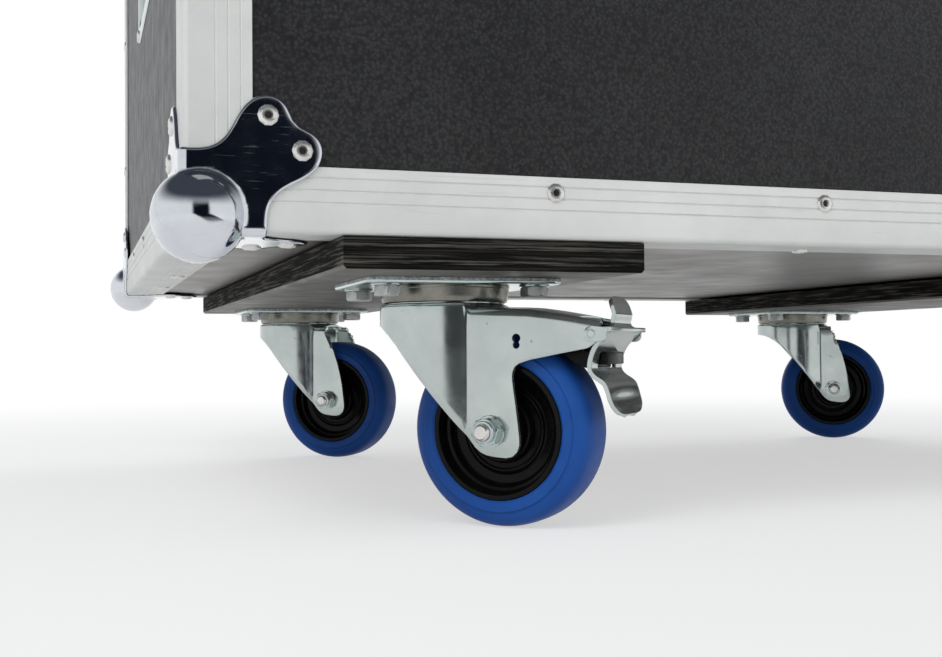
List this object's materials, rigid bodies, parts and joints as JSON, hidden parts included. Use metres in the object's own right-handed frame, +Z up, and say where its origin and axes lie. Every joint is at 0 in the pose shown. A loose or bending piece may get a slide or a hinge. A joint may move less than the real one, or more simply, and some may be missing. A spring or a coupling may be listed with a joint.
{
  "type": "universal flight case",
  "caption": "Laminated plywood trunk with aluminium edges, ball corners, hinged lid, butterfly latches, recessed handles and braked swivel castors.",
  "frame": {"origin": "on the floor under the middle of the closed case", "axes": "+X to the right along the front, +Y to the hinge side at the back, +Z up"},
  "size_m": [0.825, 0.625, 0.7555],
  "materials": {
    "laminate": "plywood faced in near-black finely pebbled laminate",
    "film_ply": "grey-brown film-faced plywood with a fine mesh texture",
    "stained_ply": "black-stained birch plywood, plies showing on the edge",
    "aluminium": "satin anodised extrusion with fine grooves",
    "chrome": "bright mirror plate",
    "zinc": "bright zinc-plated pressed steel, slightly blue-green",
    "blue_rubber": "blue elastic rubber, satin",
    "black_nylon": "black nylon",
    "black_steel": "black coated steel loop with a black grip"
  },
  "bodies": {
    "case": {"body_frame": "aluminium", "panel_front": "laminate", "panel_back": "laminate", "panel_left": "laminate", "panel_right": "laminate", "panel_bottom": "film_ply", "castor_board_left": "stained_ply", "castor_board_right": "stained_ply", "handle_dish_left": "zinc", "handle_dish_right": "zinc", "latch_dish_left": "zinc", "latch_dish_right": "zinc", "hinge_body_leaf": "zinc", "body_ball_corner_front_left": "chrome", "castor_plate_front_left": "zinc", "body_ball_corner_front_right": "chrome", "castor_plate_front_right": "zinc", "body_ball_corner_rear_left": "chrome", "castor_plate_rear_left": "zinc", "body_ball_corner_rear_right": "chrome", "castor_plate_rear_right": "zinc"},
    "lid": {"lid_frame": "aluminium", "lid_panel_top": "laminate", "lid_panel_front": "laminate", "lid_panel_back": "laminate", "lid_panel_left": "laminate", "lid_panel_right": "laminate", "latch_catch_left": "zinc", "latch_catch_right": "zinc", "hinge_lid_leaf": "zinc", "lid_ball_corner_front_left": "chrome", "lid_ball_corner_front_right": "chrome", "lid_ball_corner_rear_left": "chrome", "lid_ball_corner_rear_right": "chrome"},
    "castor_front_left": {"fork_front_left": "zinc", "axle_front_left": "zinc"},
    "wheel_front_left": {"tyre_front_left": "blue_rubber", "hub_front_left": "black_nylon"},
    "pedal_front_left": {"brake_pedal_front_left": "zinc"},
    "castor_front_right": {"fork_front_right": "zinc", "axle_front_right": "zinc"},
    "wheel_front_right": {"tyre_front_right": "blue_rubber", "hub_front_right": "black_nylon"},
    "pedal_front_right": {"brake_pedal_front_right": "zinc"},
    "castor_rear_left": {"fork_rear_left": "zinc", "axle_rear_left": "zinc"},
    "wheel_rear_left": {"tyre_rear_left": "blue_rubber", "hub_rear_left": "black_nylon"},
    "castor_rear_right": {"fork_rear_right": "zinc", "axle_rear_right": "zinc"},
    "wheel_rear_right": {"tyre_rear_right": "blue_rubber", "hub_rear_right": "black_nylon"},
    "latch_turn_left": {"latch_rotor_left": "zinc"},
    "latch_wing_left": {"latch_wing_left": "zinc"},
    "latch_hook_left": {"latch_hook_left": "zinc"},
    "latch_turn_right": {"latch_rotor_right": "zinc"},
    "latch_wing_right": {"latch_wing_right": "zinc"},
    "latch_hook_right": {"latch_hook_right": "zinc"},
    "handle_left": {"handle_bail_left": "black_steel"},
    "handle_right": {"handle_bail_right": "black_steel"}
  },
  "joints": [
    {"name": "lid_hinge", "type": "hinge", "parent": "case", "child": "lid", "pos_m": [0, 0.3045, 0.5933], "axis": [-1, 0, 0], "range_deg": [0, 100]},
    {"name": "swivel_front_left", "type": "hinge", "parent": "case", "child": "castor_front_left", "pos_m": [-0.255, -0.212, 0.128], "axis": [0, 0, 1], "continuous": true},
    {"name": "spin_front_left", "type": "hinge", "parent": "castor_front_left", "child": "wheel_front_left", "pos_m": [-0.22832, -0.23906, 0.05], "axis": [0.712, 0.7022, 0], "continuous": true},
    {"name": "brake_front_left", "type": "hinge", "parent": "castor_front_left", "child": "pedal_front_left", "pos_m": [-0.18935, -0.27857, 0.0985], "axis": [-0.712, -0.7022, 0], "range_deg": [0, 12]},
    {"name": "swivel_front_right", "type": "hinge", "parent": "case", "child": "castor_front_right", "pos_m": [0.255, -0.212, 0.128], "axis": [0, 0, 1], "continuous": true},
    {"name": "spin_front_right", "type": "hinge", "parent": "castor_front_right", "child": "wheel_front_right", "pos_m": [0.2784, -0.24194, 0.05], "axis": [0.788, 0.6157, 0], "continuous": true},
    {"name": "brake_front_right", "type": "hinge", "parent": "castor_front_right", "child": "pedal_front_right", "pos_m": [0.31256, -0.28568, 0.0985], "axis": [-0.788, -0.6157, 0], "range_deg": [0, 12]},
    {"name": "swivel_rear_left", "type": "hinge", "parent": "case", "child": "castor_rear_left", "pos_m": [-0.255, 0.212, 0.128], "axis": [0, 0, 1], "continuous": true},
    {"name": "spin_rear_left", "type": "hinge", "parent": "castor_rear_left", "child": "wheel_rear_left", "pos_m": [-0.22522, 0.1884, 0.05], "axis": [0.6211, 0.7837, 0], "continuous": true},
    {"name": "swivel_rear_right", "type": "hinge", "parent": "case", "child": "castor_rear_right", "pos_m": [0.255, 0.212, 0.128], "axis": [0, 0, 1], "continuous": true},
    {"name": "spin_rear_right", "type": "hinge", "parent": "castor_rear_right", "child": "wheel_rear_right", "pos_m": [0.28687, 0.1913, 0.05], "axis": [0.5446, 0.8387, 0], "continuous": true},
    {"name": "latch_turn_left", "type": "hinge", "parent": "case", "child": "latch_turn_left", "pos_m": [-0.23, -0.2958, 0.565], "axis": [0, -1, 0], "range_deg": [0, 180]},
    {"name": "latch_wing_fold_left", "type": "hinge", "parent": "latch_turn_left", "child": "latch_wing_left", "pos_m": [-0.23, -0.2979, 0.565], "axis": [-1, 0, 0], "range_deg": [0, 90]},
    {"name": "latch_hook_swing_left", "type": "hinge", "parent": "case", "child": "latch_hook_left", "pos_m": [-0.23, -0.2934, 0.589], "axis": [-1, 0, 0], "range_deg": [0, 35]},
    {"name": "latch_turn_right", "type": "hinge", "parent": "case", "child": "latch_turn_right", "pos_m": [0.23, -0.2958, 0.565], "axis": [0, -1, 0], "range_deg": [0, 180]},
    {"name": "latch_wing_fold_right", "type": "hinge", "parent": "latch_turn_right", "child": "latch_wing_right", "pos_m": [0.23, -0.2979, 0.565], "axis": [-1, 0, 0], "range_deg": [0, 90]},
    {"name": "latch_hook_swing_right", "type": "hinge", "parent": "case", "child": "latch_hook_right", "pos_m": [0.23, -0.2934, 0.589], "axis": [-1, 0, 0], "range_deg": [0, 35]},
    {"name": "handle_swing_left", "type": "hinge", "parent": "case", "child": "handle_left", "pos_m": [-0.3897, 0, 0.4], "axis": [0, 1, 0], "range_deg": [0, 90], "stiffness_Nm_per_rad": 0.2},
    {"name": "handle_swing_right", "type": "hinge", "parent": "case", "child": "handle_right", "pos_m": [0.3897, 0, 0.4], "axis": [0, -1, 0], "range_deg": [0, 90], "stiffness_Nm_per_rad": 0.2}
  ],
  "couplings": [
    {"joint": "latch_hook_swing_left", "follows": "latch_turn_left", "ratio": 0.1944},
    {"joint": "latch_hook_swing_right", "follows": "latch_turn_right", "ratio": 0.1944}
  ]
}
